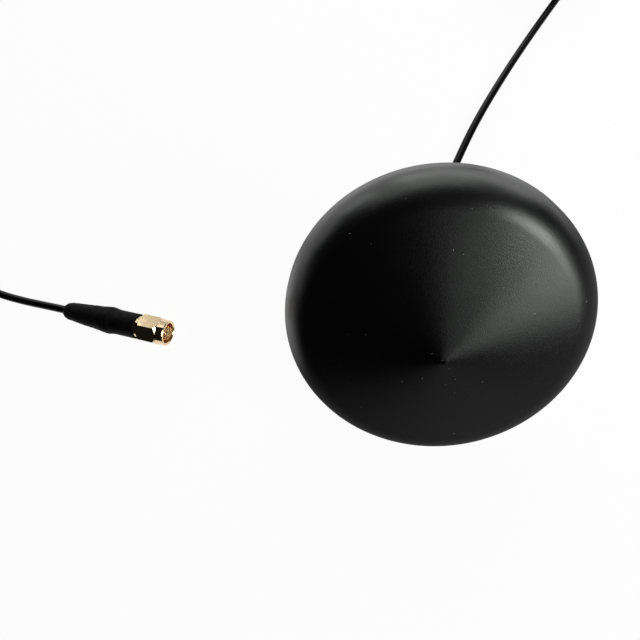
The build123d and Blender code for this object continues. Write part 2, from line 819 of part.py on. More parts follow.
# Plug body: shank, collar and barrel, then the journal on which the nut turns
core_bore = core_radius + part_clearance
insulator_bore = insulator_radius + part_clearance
with BuildPart() as plug_body:
    with BuildSketch(plug_section):
        with BuildLine():
            Polyline(
                (core_bore, jacket_end),
                (shank_radius, jacket_end),
                (shank_radius, crimp_end),
                (collar_radius, crimp_end),
                (collar_radius, collar_end),
                (body_radius, collar_end),
                (body_radius, flange_end),
                (journal_radius, flange_end),
                (journal_radius, ring_start),
                (groove_radius, ring_start),
                (groove_radius, ring_end),
                (journal_radius, ring_end),
                (journal_radius, journal_end),
                (barrel_radius, journal_end),
                (barrel_radius, mating_plane),
                (insulator_bore, mating_plane),
                (insulator_bore, insulator_start),
                (core_bore, insulator_start),
                close=True,
            )
        make_face()
    revolve(axis=plug_axis)
plug_body.part.label = "plug_body"
export_step(plug_body.part, "parts/plug_body.step")

# Insulator that carries the contact, flush with the mating plane
with BuildPart() as plug_insulator:
    with BuildSketch(plug.offset(insulator_start)):
        Circle(insulator_radius)
        Circle(contact_radius, mode=Mode.SUBTRACT)
    extrude(amount=mating_plane - insulator_start)
plug_insulator.part.label = "plug_insulator"
export_step(plug_insulator.part, "parts/plug_insulator.step")

# Centre contact: a turned pin with a tapered tip
with BuildPart() as centre_contact:
    with BuildSketch(plug_section):
        with BuildLine():
            Polyline(
                (0, contact_start),
                (contact_radius, contact_start),
                (contact_radius, mating_plane),
                (tip_pin_radius, mating_plane),
                (tip_pin_radius, mating_plane + tip_reach - tip_pin_radius),
                (tip_pin_radius / 3, mating_plane + tip_reach),
                (0, mating_plane + tip_reach),
                close=True,
            )
        make_face()
    revolve(axis=plug_axis)
centre_contact.part.label = "centre_contact"
export_step(centre_contact.part, "parts/centre_contact.step")

# Snap ring: an open ring in the journal's groove that keeps the nut on
with BuildPart() as snap_ring:
    with BuildSketch(plug.offset(ring_start + part_clearance)):
        Circle(ring_radius)
        Circle(groove_radius, mode=Mode.SUBTRACT)
        with Locations((ring_radius, 0)):
            Rectangle(2 * ring_radius, ring_gap, mode=Mode.SUBTRACT)
    extrude(amount=ring_thickness - 2 * part_clearance)
snap_ring.part.label = "snap_ring"
export_step(snap_ring.part, "parts/snap_ring.step")

# Weather gasket round the body's barrel, against the journal's shoulder
with BuildPart() as weather_gasket:
    with BuildSketch(plug.offset(journal_end + part_clearance)):
        Circle(thread_radius - weather_gasket_gap)
        Circle(barrel_radius + part_clearance, mode=Mode.SUBTRACT)
    extrude(amount=weather_gasket_thickness)
weather_gasket.part.label = "weather_gasket"
export_step(weather_gasket.part, "parts/weather_gasket.step")

# Coupling nut: hexagon with bevelled corners, round front barrel, and the bore inside
hex_corner = nut_flats / 2 / cos(pi / 6)
bevel_rise = (hex_corner - nut_flats / 2) * tan(radians(90 - nut_bevel)) / 2
nut_barrel_radius = nut_flats / 2 - nut_barrel_step
with BuildPart() as coupling_nut:
    with BuildSketch(plug.offset(nut_start)):
        RegularPolygon(nut_flats / 2, 6, major_radius=False, rotation=nut_turn)
    extrude(amount=nut_hex_length)
    with BuildSketch(plug_section):
        with BuildLine():
            Polyline(
                (0, nut_start),
                (nut_flats / 2, nut_start),
                (hex_corner, nut_start + bevel_rise),
                (hex_corner, hex_end - bevel_rise),
                (nut_flats / 2, hex_end),
                (0, hex_end),
                close=True,
            )
        make_face()
    revolve(axis=plug_axis, mode=Mode.INTERSECT)
    with BuildSketch(plug_section):
        with BuildLine():
            Polyline(
                (0, hex_end - nut_edge),
                (nut_barrel_radius, hex_end - nut_edge),
                (nut_barrel_radius, nut_end - nut_edge),
                (nut_barrel_radius - nut_edge, nut_end),
                (0, nut_end),
                close=True,
            )
        make_face()
    revolve(axis=plug_axis)
    journal_bore = journal_radius + running_clearance
    ring_room = ring_radius + part_clearance
    with BuildSketch(plug_section):
        with BuildLine():
            Polyline(
                (0, nut_start),
                (journal_bore, nut_start),
                (journal_bore, ring_start - part_clearance),
                (ring_room, ring_start - part_clearance),
                (ring_room, ring_end + part_clearance),
                (journal_bore, ring_end + part_clearance),
                (journal_bore, thread_start),
                (thread_radius, thread_start),
                (thread_radius, nut_end - nut_edge),
                (thread_radius + nut_edge, nut_end),
                (0, nut_end),
                close=True,
            )
        make_face()
    revolve(axis=plug_axis, mode=Mode.SUBTRACT)
coupling_nut.part.label = "coupling_nut"
export_step(coupling_nut.part, "parts/coupling_nut.step")

# Figures that show the lead is as long and as gently bent as it should be
coil_length = coil_turns * 2 * pi * coil_mid_radius
lead_length = lead_line.wires()[0].length
tail_length = tail_line.wires()[0].length
section_area = pi * cable_radius**2
print("lean of the antenna, degrees:", round(lean, 2))
print("radii of the lead's bends:", [round(radius, 1) for radius in lead_radii])
print("radii of the tail's bends:", [round(radius, 1) for radius in tail_radii])
print("lead, volume over section times length:", cable_lead.part.volume / section_area / lead_length)
print("tail, volume over section times length:", cable_tail.part.volume / section_area / tail_length)
print("whole lead, metres:", round((coil_length + lead_length + tail_length) / 1000, 3))
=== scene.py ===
import json
from math import atan2, cos, degrees, pi, radians, sin, tan, tau

import bpy
from mathutils import Euler, Matrix, Vector
from mathutils.noise import noise as perlin


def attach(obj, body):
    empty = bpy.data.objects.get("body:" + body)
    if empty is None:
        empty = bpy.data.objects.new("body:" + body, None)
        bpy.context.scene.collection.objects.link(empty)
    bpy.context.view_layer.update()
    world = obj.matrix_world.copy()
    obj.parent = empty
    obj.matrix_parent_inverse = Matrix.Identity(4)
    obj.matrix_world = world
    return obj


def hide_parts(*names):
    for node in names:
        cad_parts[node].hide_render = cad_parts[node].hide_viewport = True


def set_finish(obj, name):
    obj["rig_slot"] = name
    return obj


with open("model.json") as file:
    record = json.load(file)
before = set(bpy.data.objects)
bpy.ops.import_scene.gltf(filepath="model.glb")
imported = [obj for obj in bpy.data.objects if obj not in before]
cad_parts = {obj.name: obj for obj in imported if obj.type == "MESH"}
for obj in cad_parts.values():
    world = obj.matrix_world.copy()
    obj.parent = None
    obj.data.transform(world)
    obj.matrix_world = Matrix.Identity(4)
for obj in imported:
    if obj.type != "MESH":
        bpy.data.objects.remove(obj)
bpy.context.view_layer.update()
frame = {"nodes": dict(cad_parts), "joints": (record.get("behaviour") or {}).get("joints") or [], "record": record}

# Looks of an outdoor antenna, in metres: a low conical radome on a hollow stud, and its lead,
# which runs to a coil of the spare length and on to a gold coaxial plug.

MM = 0.001
scene = bpy.context.scene
scene.view_settings.view_transform = "Standard"
nodes = frame["nodes"]

# Camera: above the antenna, a little in front of it, and turned as the photograph is
CAMERA_PLACE = (-18.864 * MM, -30.75 * MM, 139.258 * MM)
CAMERA_ANGLES = (14.81, 3.21, 5.717)
CAMERA_LENS = 25.875
SENSOR_WIDTH = 36.0
CLIP_START = 0.005
CLIP_END = 20


def add_camera():
    """The photograph's camera."""
    camera = bpy.data.objects.new("camera", bpy.data.cameras.new("camera"))
    scene.collection.objects.link(camera)
    camera.location = CAMERA_PLACE
    camera.rotation_euler = Euler([radians(angle) for angle in CAMERA_ANGLES])
    camera.data.lens = CAMERA_LENS
    camera.data.sensor_width = SENSOR_WIDTH
    camera.data.clip_start = CLIP_START
    camera.data.clip_end = CLIP_END
    scene.camera = camera


add_camera()

# Materials: each has its own drift of colour and roughness and its own fine relief
COLOUR_DETAIL = 4
COLOUR_SPREAD = (0.35, 0.65)
# The haze that varies the roughness has patches of this share of the colour's
HAZE_SHARE = 0.6
HAZE_DETAIL = 5
HAZE_SPREAD = (0.3, 0.7)
RELIEF_DETAIL = 2


def start_material(name):
    """A new material, its node tree and its shader."""
    material = bpy.data.materials.new(name)
    material.use_nodes = True
    tree = material.node_tree
    return material, tree, tree.nodes["Principled BSDF"]


def noise_of(tree, size, detail, stretch=(1, 1, 1)):
    """Noise whose features are about this size, in metres, in the object's own frame."""
    place = tree.nodes.new("ShaderNodeTexCoord")
    mapping = tree.nodes.new("ShaderNodeMapping")
    texture = tree.nodes.new("ShaderNodeTexNoise")
    mapping.inputs["Scale"].default_value = [share / size for share in stretch]
    texture.inputs["Scale"].default_value = 1
    texture.inputs["Detail"].default_value = detail
    tree.links.new(place.outputs["Object"], mapping.inputs["Vector"])
    tree.links.new(mapping.outputs["Vector"], texture.inputs["Vector"])
    return texture.outputs["Fac"]


def ramp_of(tree, value, stops):
    """Colour by value, from two (place, colour) stops."""
    ramp = tree.nodes.new("ShaderNodeValToRGB")
    elements = ramp.color_ramp.elements
    for element, (place, colour) in zip(elements, stops):
        element.position = place
        element.color = (*colour, 1)
    tree.links.new(value, ramp.inputs["Fac"])
    return ramp.outputs["Color"]


def range_of(tree, value, source, target):
    """Value mapped from one range onto another, and kept inside it."""
    node = tree.nodes.new("ShaderNodeMapRange")
    for label, number in zip(("From Min", "From Max", "To Min", "To Max"), (*source, *target)):
        node.inputs[label].default_value = number
    tree.links.new(value, node.inputs["Value"])
    return node.outputs["Result"]


def relief_of(tree, shader, height, depth):
    """Bump of this depth, in metres, on the shader."""
    bump = tree.nodes.new("ShaderNodeBump")
    bump.inputs["Strength"].default_value = 1
    bump.inputs["Distance"].default_value = depth
    tree.links.new(height, bump.inputs["Height"])
    tree.links.new(bump.outputs["Normal"], shader.inputs["Normal"])


def grey(level):
    """A colour without a hue."""
    return (level, level, level)


def surface(name, dark, light, rough, patch, grain, depth, metallic=0.0, stretch=(1, 1, 1), gloss=0.5):
    """Material whose colour drifts from dark to light, and whose roughness is a (low, high) range.

    The patches of colour, the grain of the relief and its depth are in millimetres.
    """
    material, tree, shader = start_material(name)
    drift = noise_of(tree, patch * MM, COLOUR_DETAIL)
    low, high = COLOUR_SPREAD
    tree.links.new(ramp_of(tree, drift, [(low, dark), (high, light)]), shader.inputs["Base Color"])
    haze = noise_of(tree, patch * HAZE_SHARE * MM, HAZE_DETAIL)
    tree.links.new(range_of(tree, haze, HAZE_SPREAD, rough), shader.inputs["Roughness"])
    relief_of(tree, shader, noise_of(tree, grain * MM, RELIEF_DETAIL, stretch), depth * MM)
    shader.inputs["Metallic"].default_value = metallic
    shader.inputs["Specular IOR Level"].default_value = gloss
    return material


RADOME_BLACK = (0.0006, 0.0007, 0.00065)
RADOME_WORN = (0.0013, 0.0015, 0.0014)
DUST = (0.30, 0.31, 0.29)
RADOME_ROUGH = (0.29, 0.33)
RADOME_SHEEN = (0.95, 1.0, 0.95)
RADOME_PATCH = 14
RADOME_GRAIN = 0.25
RADOME_RELIEF = 0.03
# Specks of dust: one to a cell of this size, in millimetres, with a radius in shares of the cell
DUST_CELL = 3.6
DUST_REACH = 0.04
DUST_CORE = 0.6


def radome_material():
    """Fine matte moulding texture, with a few specks of pale dust."""
    colours = (RADOME_BLACK, RADOME_WORN)
    relief = (RADOME_PATCH, RADOME_GRAIN, RADOME_RELIEF)
    material = surface("radome_plastic_finish", *colours, RADOME_ROUGH, *relief)
    tree = material.node_tree
    shader = tree.nodes["Principled BSDF"]
    place = tree.nodes.new("ShaderNodeTexCoord")
    cells = tree.nodes.new("ShaderNodeTexVoronoi")
    cells.inputs["Scale"].default_value = 1 / (DUST_CELL * MM)
    tree.links.new(place.outputs["Object"], cells.inputs["Vector"])
    speck = range_of(tree, cells.outputs["Distance"], (DUST_REACH * DUST_CORE, DUST_REACH), (1, 0))
    mix = tree.nodes.new("ShaderNodeMix")
    mix.data_type = "RGBA"
    base = shader.inputs["Base Color"].links[0].from_socket
    tree.links.new(speck, mix.inputs["Factor"])
    tree.links.new(base, mix.inputs["A"])
    mix.inputs["B"].default_value = (*DUST, 1)
    tree.links.new(mix.outputs["Result"], shader.inputs["Base Color"])
    shader.inputs["Specular Tint"].default_value = (*RADOME_SHEEN, 1)
    return material


GOLD_PALE = (0.82, 0.65, 0.42)
GOLD_DEEP = (0.78, 0.60, 0.37)

finishes = {
    "radome_plastic": radome_material(),
    "plate_casting": surface("plate_finish", grey(0.012), grey(0.02), (0.42, 0.55), 9, 0.5, 0.012),
    "seal_rubber": surface("seal_finish", grey(0.02), grey(0.035), (0.75, 0.9), 3, 0.35, 0.05),
    "gasket_rubber": surface("gasket_finish", grey(0.010), grey(0.018), (0.5, 0.65), 6, 0.4, 0.012),
    "stud_metal": surface(
        "stud_finish", (0.60, 0.57, 0.50), (0.68, 0.65, 0.59), (0.2, 0.32), 4, 0.25, 0.002, metallic=1.0
    ),
    "screw_steel": surface(
        "screw_finish", (0.5, 0.5, 0.49), (0.62, 0.62, 0.62), (0.28, 0.4), 2, 0.2, 0.002, metallic=1.0
    ),
    "board_laminate": surface(
        "board_finish", (0.012, 0.11, 0.045), (0.02, 0.15, 0.065), (0.25, 0.38), 5, 0.9, 0.01
    ),
    "patch_ceramic": surface(
        "ceramic_finish", (0.66, 0.6, 0.48), (0.76, 0.7, 0.58), (0.45, 0.6), 6, 0.3, 0.01
    ),
    "adhesive_pad": surface(
        "pad_finish", (0.68, 0.66, 0.58), (0.78, 0.76, 0.68), (0.7, 0.85), 3, 0.4, 0.03
    ),
    "tin_plate": surface(
        "tin_finish", (0.6, 0.6, 0.59), (0.7, 0.7, 0.69), (0.25, 0.4), 3, 0.3, 0.003,
        metallic=1.0, stretch=(1, 6, 1),
    ),
    "copper_wire": surface(
        "copper_finish", (0.66, 0.38, 0.19), (0.76, 0.48, 0.26), (0.25, 0.38), 2, 0.2, 0.002, metallic=1.0
    ),
    "cable_jacket": surface(
        "jacket_finish", grey(0.0008), grey(0.002), (0.2, 0.28), 7, 0.5, 0.004, gloss=0.12
    ),
    "cable_tie": surface("tie_finish", grey(0.008), grey(0.013), (0.32, 0.45), 5, 0.4, 0.008),
    "sleeve_plastic": surface(
        "sleeve_finish", grey(0.0006), grey(0.0014), (0.55, 0.75), 2.5, 0.35, 0.012, gloss=0.1
    ),
    "plug_gold": surface("gold_finish", GOLD_DEEP, GOLD_PALE, (0.07, 0.12), 3, 0.5, 0.0004, metallic=1.0),
    "insulator_white": surface(
        "insulator_finish", (0.76, 0.74, 0.68), (0.84, 0.82, 0.77), (0.35, 0.5), 2, 0.25, 0.004
    ),
    "braid_metal": surface(
        "braid_finish", (0.55, 0.53, 0.49), (0.7, 0.68, 0.64), (0.3, 0.45), 1, 0.2, 0.03,
        metallic=1.0, stretch=(3, 1, 1),
    ),
    "weather_red": surface(
        "weather_finish", (0.36, 0.03, 0.02), (0.48, 0.055, 0.035), (0.5, 0.62), 2, 0.3, 0.006
    ),
}


def wear(piece, slot):
    """Gives a piece the finish of this material slot."""
    piece.data.materials.clear()
    piece.data.materials.append(finishes[slot])


# Lead: one cord from the stud's end, through the coil of the spare length, to the plug
CABLE_DIAMETER = 2.5 * MM
# Routes of its two ends, in millimetres, and the height of its middle where it lies flat
FLOOR_LEVEL = 1.3
LEAD_ROUTE = [
    (0.0, 19.235, 5.795),
    (0.0, 21.169, 3.634),
    (0.02, 23.52, 2.10),
    (0.15, 26.30, FLOOR_LEVEL),
    (1.1, 32.2, FLOOR_LEVEL),
    (3.3, 41.5, FLOOR_LEVEL),
    (6.3, 52.0, FLOOR_LEVEL),
    (9.9, 62.8, FLOOR_LEVEL),
    (15.2, 77.2, FLOOR_LEVEL),
    (22.1, 92.2, FLOOR_LEVEL),
    (29.7, 107.2, FLOOR_LEVEL),
    (37.9, 122.2, FLOOR_LEVEL),
    (46.2, 136.7, 1.4),
]
TAIL_ROUTE = [
    (27.0, 175.6, 8.9),
    (15.5, 174.9, 5.7),
    (3.5, 173.4, 2.4),
    (-9.0, 171.0, FLOOR_LEVEL),
    (-27.0, 166.6, FLOOR_LEVEL),
    (-48.0, 160.6, FLOOR_LEVEL),
    (-72.0, 154.6, FLOOR_LEVEL),
    (-98.0, 150.2, FLOOR_LEVEL),
    (-124.0, 147.6, FLOOR_LEVEL),
    (-145.0, 146.8, FLOOR_LEVEL),
    (-158.5, 144.0, FLOOR_LEVEL),
    (-170.5, 136.5, FLOOR_LEVEL),
    (-178.0, 125.0, FLOOR_LEVEL),
    (-181.0, 111.5, FLOOR_LEVEL),
    (-180.0, 97.5, FLOOR_LEVEL),
    (-175.5, 79.5, FLOOR_LEVEL),
    (-168.8, 58.0, FLOOR_LEVEL),
    (-162.0, 37.5, FLOOR_LEVEL),
    (-156.2, 23.6, FLOOR_LEVEL),
    (-150.6, 13.2, FLOOR_LEVEL),
    (-143.5, 6.9, FLOOR_LEVEL),
    (-135.2, 4.35, FLOOR_LEVEL),
    (-127.2, 3.0, FLOOR_LEVEL),
    (-120.6, 2.05, 2.2),
    (-114.6, 1.19, 3.42),
    (-108.691, 0.362, 3.67),
]

# Coil: the lead winds inward and outward by turns, one layer on another
COIL_CENTRE = (36.16, 156.77)
COIL_INNER_RING = 11.205
COIL_RINGS = 4
COIL_LAYERS = 4
COIL_BOTTOM = 1.95
TURN_PITCH = 2.55
COIL_TURNS = 15.335
COIL_START = -30.5
POINTS_PER_TURN = 16
CROSSOVER_SHARE = 0.14
SPLINE_ORDER = 3
SPLINE_STEPS = 6
ROUND_STEPS = 6
# A spline of this order runs inside its control points by this factor
RING_FACTOR = 1 / 0.981


def smooth_step(value):
    """0 below 0, 1 above 1, and an S curve between."""
    value = min(max(value, 0.0), 1.0)
    return value * value * (3 - 2 * value)


def ring_place(number):
    """Radius and height of the coil's turn with this number, counted from the outside bottom."""
    number = min(max(number, 0), COIL_RINGS * COIL_LAYERS - 1)
    layer, step = divmod(number, COIL_RINGS)
    ring = COIL_RINGS - 1 - step if layer % 2 == 0 else step
    return COIL_INNER_RING + ring * TURN_PITCH, COIL_BOTTOM + layer * TURN_PITCH


def coil_points():
    """Control points of the coil's turns, in millimetres."""
    total = COIL_TURNS * tau
    slots = COIL_RINGS * COIL_LAYERS
    count = round(COIL_TURNS * POINTS_PER_TURN)
    points = []
    for index in range(count + 1):
        share = index / count
        slot = share * slots
        nearest = round(slot)
        before, after = ring_place(nearest - 1), ring_place(nearest)
        blend = smooth_step((slot - nearest) / CROSSOVER_SHARE + 0.5)
        radius = (before[0] + (after[0] - before[0]) * blend) * RING_FACTOR
        height = before[1] + (after[1] - before[1]) * blend
        angle = radians(COIL_START) + share * total
        points.append((COIL_CENTRE[0] + radius * cos(angle), COIL_CENTRE[1] + radius * sin(angle), height))
    return points


def add_lead():
    """The lead as one smooth spline over its whole route."""
    curve = bpy.data.curves.new("lead", "CURVE")
    curve.dimensions = "3D"
    spline = curve.splines.new("NURBS")
    points = LEAD_ROUTE + coil_points() + TAIL_ROUTE
    spline.points.add(len(points) - 1)
    for place, point in zip(points, spline.points):
        point.co = (place[0] * MM, place[1] * MM, place[2] * MM, 1)
    spline.order_u = SPLINE_ORDER
    spline.use_endpoint_u = True
    curve.resolution_u = SPLINE_STEPS
    curve.bevel_depth = CABLE_DIAMETER / 2
    curve.bevel_resolution = ROUND_STEPS
    curve.materials.append(finishes["cable_jacket"])
    lead = bpy.data.objects.new("lead", curve)
    scene.collection.objects.link(lead)
    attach(lead, "antenna")
    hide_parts("cable_lead", "cable_coil", "cable_tail")
    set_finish(lead, "cable_jacket")
    return lead


# Frames of the antenna and of the plug, read from the record
stud_mount = next(mount for mount in frame["record"]["mounts"] if mount["name"] == "stud")
nut_joint = next(joint for joint in frame["joints"] if joint["name"] == "nut_spin")
STUD_MIDDLE = -13.5
NUT_START = 26.75


def frame_along(axis, origin, x_dir):
    """Matrix of a frame, in metres, whose Z runs along axis."""
    z_dir = Vector(axis).normalized()
    x_dir = (Vector(x_dir) - z_dir * z_dir.dot(Vector(x_dir))).normalized()
    y_dir = z_dir.cross(x_dir)
    turn = Matrix((x_dir, y_dir, z_dir)).transposed().to_4x4()
    return Matrix.Translation(origin) @ turn


antenna_axis = -Vector(stud_mount["axis"])
antenna_origin = Vector(stud_mount["pos_m"]) - antenna_axis * STUD_MIDDLE * MM
antenna_frame = frame_along(antenna_axis, antenna_origin, (1, 0, 0))
plug_axis = Vector(nut_joint["axis"])
plug_origin = Vector(nut_joint["pos_m"]) - plug_axis * NUT_START * MM
plug_frame = frame_along(plug_axis, plug_origin, (0, 1, 0))

# Edges that bend by more than this, in degrees, are shaded as sharp
SHARP_ANGLE = 32


def lathe(name, rows, columns, place, shape=None):
    """Closed turned piece; rows are (radius, height) in millimetres round its half section."""
    vertices = []
    for radius, height in rows:
        for step in range(columns):
            turn = tau * step / columns
            reach = shape(radius, height, turn) if shape else radius
            vertices.append(place @ (Vector((reach * cos(turn), reach * sin(turn), height)) * MM))
    faces = []
    for number in range(len(rows)):
        here, there = number * columns, (number + 1) % len(rows) * columns
        for step in range(columns):
            after = (step + 1) % columns
            faces.append((here + step, here + after, there + after, there + step))
    mesh = bpy.data.meshes.new(name)
    mesh.from_pydata(vertices, [], faces)
    mesh.shade_smooth()
    mesh.set_sharp_from_angle(angle=radians(SHARP_ANGLE))
    piece = bpy.data.objects.new(name, mesh)
    scene.collection.objects.link(piece)
    return piece


# Radome: its moulding, with the softer shoulder that the light shows; sizes in millimetres
RADOME_FOOT = 37.5
RADOME_APEX = 22.296
SHOULDER_CORNER = (36.72, 10.45)
SHOULDER_RADIUS = 11.0
SHOULDER_STEPS = 28
FOOT_ROUND = 0.5
FOOT_STEPS = 6
TIP_RADIUS = 3.0
TIP_STEPS = 8
GATE_RADIUS = 0.55
GATE_HEIGHT = 0.15
AXIS_HOLE = 0.01
RADOME_INSIDE = [(35.3, 0.0), (35.3, 4.5), (34.1, 4.5), (33.6, 7.0), (32.9, 8.1), (31.9, 8.8)]
RADOME_ROOF_INSIDE = 19.6
RADOME_COLUMNS = 256


def arc_points(centre, radius, first, last, steps):
    """Points of an arc from one angle to another, in degrees."""
    angles = [radians(first + (last - first) * step / steps) for step in range(steps + 1)]
    return [(centre[0] + radius * cos(angle), centre[1] + radius * sin(angle)) for angle in angles]


def radome_rows():
    """Half section of the radome, from the foot over the shoulder to the tip, and back inside."""
    lean = atan2(RADOME_FOOT - SHOULDER_CORNER[0], SHOULDER_CORNER[1])
    slope = atan2(RADOME_APEX - SHOULDER_CORNER[1], SHOULDER_CORNER[0])
    wall_normal = Vector((cos(lean), sin(lean)))
    roof_normal = Vector((sin(slope), cos(slope)))
    inward = (wall_normal + roof_normal) / (1 + wall_normal.dot(roof_normal))
    shoulder = Vector(SHOULDER_CORNER) - inward * SHOULDER_RADIUS
    foot = Vector((RADOME_FOOT, 0)) - FOOT_ROUND * Vector(((1 + sin(lean)) / cos(lean), -1))
    tip = (0, RADOME_APEX - TIP_RADIUS / cos(slope))
    wall_angle, roof_angle = degrees(lean), 90 - degrees(slope)
    rows = arc_points(foot, FOOT_ROUND, -90, wall_angle, FOOT_STEPS)
    rows += arc_points(shoulder, SHOULDER_RADIUS, wall_angle, roof_angle, SHOULDER_STEPS)
    dome = arc_points(tip, TIP_RADIUS, roof_angle, 90, TIP_STEPS)
    rows += [place for place in dome if place[0] > GATE_RADIUS]
    level = tip[1] + TIP_RADIUS
    rows += [(GATE_RADIUS, level), (GATE_RADIUS, level + GATE_HEIGHT), (AXIS_HOLE, level + GATE_HEIGHT)]
    rows += [(AXIS_HOLE, RADOME_ROOF_INSIDE)] + RADOME_INSIDE[::-1]
    return rows


def add_radome():
    """The radome as one turned skin, in place of the plain one."""
    radome = lathe("radome_skin", radome_rows(), RADOME_COLUMNS, antenna_frame)
    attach(radome, "antenna")
    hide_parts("radome")
    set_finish(radome, "radome_plastic")
    return radome


# Stud: a coarse machine thread from its end to the plain neck
STUD_RADIUS = 9.0
STUD_BORE = 4.0
STUD_LENGTH = 25.5
NECK_RADIUS = 9.2
NECK_LENGTH = 2.0
HEAD_APOTHEM = 11.0
HEAD_BOTTOM = 2.0
HEAD_TOP = 3.5
HEX_SIDE = pi / 3
STUD_PITCH = 1.5
STUD_THREAD_DEPTH = 0.85
ROWS_PER_PITCH = 12
STUD_COLUMNS = 96
END_CHAMFER = 0.9
# Shares of half a pitch: the flat crest, and the flank that falls to the root
THREAD_CREST = 0.125
THREAD_FLANK = 0.625


def thread_share(height, turn, pitch):
    """How deep the thread is cut at this height and turn: 0 on its crest and 1 in its root."""
    wave = abs(2 * ((height / pitch - turn / tau) % 1) - 1)
    return min(max((wave - THREAD_CREST) / THREAD_FLANK, 0.0), 1.0)


def stud_shape(radius, height, turn):
    """Radius of the stud at a height and turn, with its thread and its hexagonal head."""
    if radius == HEAD_APOTHEM:
        return HEAD_APOTHEM / cos((turn + HEX_SIDE / 2) % HEX_SIDE - HEX_SIDE / 2)
    if radius != STUD_RADIUS:
        return radius
    start = smooth_step((height + STUD_LENGTH) / END_CHAMFER)
    finish = smooth_step((-NECK_LENGTH - height) / STUD_PITCH)
    cut = STUD_THREAD_DEPTH * thread_share(height, turn, STUD_PITCH) * finish
    return STUD_RADIUS - max(cut, STUD_THREAD_DEPTH * (1 - start))


def add_stud():
    """The stud with its thread, in place of the plain one."""
    count = round((STUD_LENGTH - NECK_LENGTH) / STUD_PITCH * ROWS_PER_PITCH)
    step = (STUD_LENGTH - NECK_LENGTH) / count
    rows = [(STUD_BORE, -STUD_LENGTH)]
    rows += [(STUD_RADIUS, -STUD_LENGTH + number * step) for number in range(count + 1)]
    rows += [(NECK_RADIUS, -NECK_LENGTH), (NECK_RADIUS, HEAD_BOTTOM), (HEAD_APOTHEM, HEAD_BOTTOM)]
    rows += [(HEAD_APOTHEM, HEAD_TOP), (STUD_BORE, HEAD_TOP)]
    stud = lathe("stud_thread", rows, STUD_COLUMNS, antenna_frame, stud_shape)
    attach(stud, "antenna")
    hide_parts("threaded_stud")
    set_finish(stud, "stud_metal")
    return stud


# Sleeve: heat-shrink, uneven where it was warmed by hand, over the ferrule and the collar
SLEEVE_LENGTH = 25.5
SLEEVE_OUTSIDE = [
    (0.0, 1.75),
    (1.2, 2.6),
    (3.2, 2.9),
    (6.9, 3.3),
    (12.6, 3.83),
    (15.9, 4.23),
    (18.4, 3.88),
    (25.5, 3.88),
]
SLEEVE_BORE = 1.3
SLEEVE_INSIDE = [
    (25.5, 3.5),
    (16.2, 3.5),
    (16.2, 3.75),
    (14.0, 3.75),
    (14.0, 2.05),
    (8.0, 2.05),
    (8.0, SLEEVE_BORE),
]
SLEEVE_STEP = 0.25
SLEEVE_LIP = 0.12
SLEEVE_COLUMNS = 64
# Wrinkles: on radii over the limit, by a slow noise and a ripple along the sleeve, with rates per
# millimetre. They rise from the mouth, and are lower where the sleeve is tight
WRINKLE_LIMIT = 2.1
WRINKLE_DEPTH = 0.055
WRINKLE_CIRCLE = 2.2
SLOW_RATE = 0.42
RIPPLE_ACROSS = 0.25
RIPPLE_ALONG = 1.25
RIPPLE_WEIGHT = 1.1
WRINKLE_RISE = 2
TIGHT_START = 17
TIGHT_LENGTH = 4
TIGHT_SHARE = 0.7


def between(points, at):
    """Value at this place on a smooth curve through (place, value) points."""
    last = len(points) - 2
    index = max(number for number in range(last + 1) if number == 0 or points[number][0] <= at)
    (start, first), (end, second) = points[index], points[index + 1]
    slopes = []
    for number in (index, index + 1):
        before, after = points[max(number - 1, 0)], points[min(number + 1, last + 1)]
        flat = number > last or (number == last and index == last)
        slopes.append(0.0 if flat else (after[1] - before[1]) / (after[0] - before[0]))
    width = end - start
    share = (at - start) / width
    return (
        (2 * share**3 - 3 * share**2 + 1) * first
        + (share**3 - 2 * share**2 + share) * width * slopes[0]
        + (3 * share**2 - 2 * share**3) * second
        + (share**3 - share**2) * width * slopes[1]
    )


def sleeve_shape(radius, height, turn):
    """Radius of the sleeve at a height and turn, with its low wrinkles."""
    if radius < WRINKLE_LIMIT or height >= SLEEVE_LENGTH:
        return radius
    where = Vector((WRINKLE_CIRCLE * cos(turn), WRINKLE_CIRCLE * sin(turn), height))
    slow = perlin(where * SLOW_RATE)
    ripple = perlin(Vector((where.x * RIPPLE_ACROSS, where.y * RIPPLE_ACROSS, height * RIPPLE_ALONG)))
    tight = TIGHT_SHARE * smooth_step((height - TIGHT_START) / TIGHT_LENGTH)
    fade = smooth_step(height / WRINKLE_RISE) * (1 - tight)
    return radius + WRINKLE_DEPTH * (slow + RIPPLE_WEIGHT * ripple) * fade


def add_sleeve():
    """The sleeve with its mouth, bulge and wrinkles."""
    count = round(SLEEVE_LENGTH / SLEEVE_STEP)
    rows = [(SLEEVE_OUTSIDE[0][1] - SLEEVE_LIP, 0.0)]
    for number in range(count):
        height = (number + 0.5) * SLEEVE_STEP
        rows.append((between(SLEEVE_OUTSIDE, height), height))
    rows.append((SLEEVE_OUTSIDE[-1][1] - SLEEVE_LIP, SLEEVE_LENGTH))
    rows += [(radius, height) for height, radius in SLEEVE_INSIDE]
    rows.append((SLEEVE_BORE, 0.0))
    sleeve = lathe("sleeve_skin", rows, SLEEVE_COLUMNS, plug_frame, sleeve_shape)
    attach(sleeve, "antenna")
    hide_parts("heat_shrink_sleeve")
    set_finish(sleeve, "sleeve_plastic")
    return sleeve


# Thread inside the coupling nut's mouth
NUT_THREAD_RADIUS = 3.1
NUT_THREAD_DEPTH = 0.06
NUT_THREAD_PITCH = 0.7
NUT_THREAD_START = 31.75
NUT_THREAD_END = 35.15
NUT_THREAD_SKIN = 0.02
NUT_THREAD_FADE = 0.5
NUT_THREAD_COLUMNS = 72


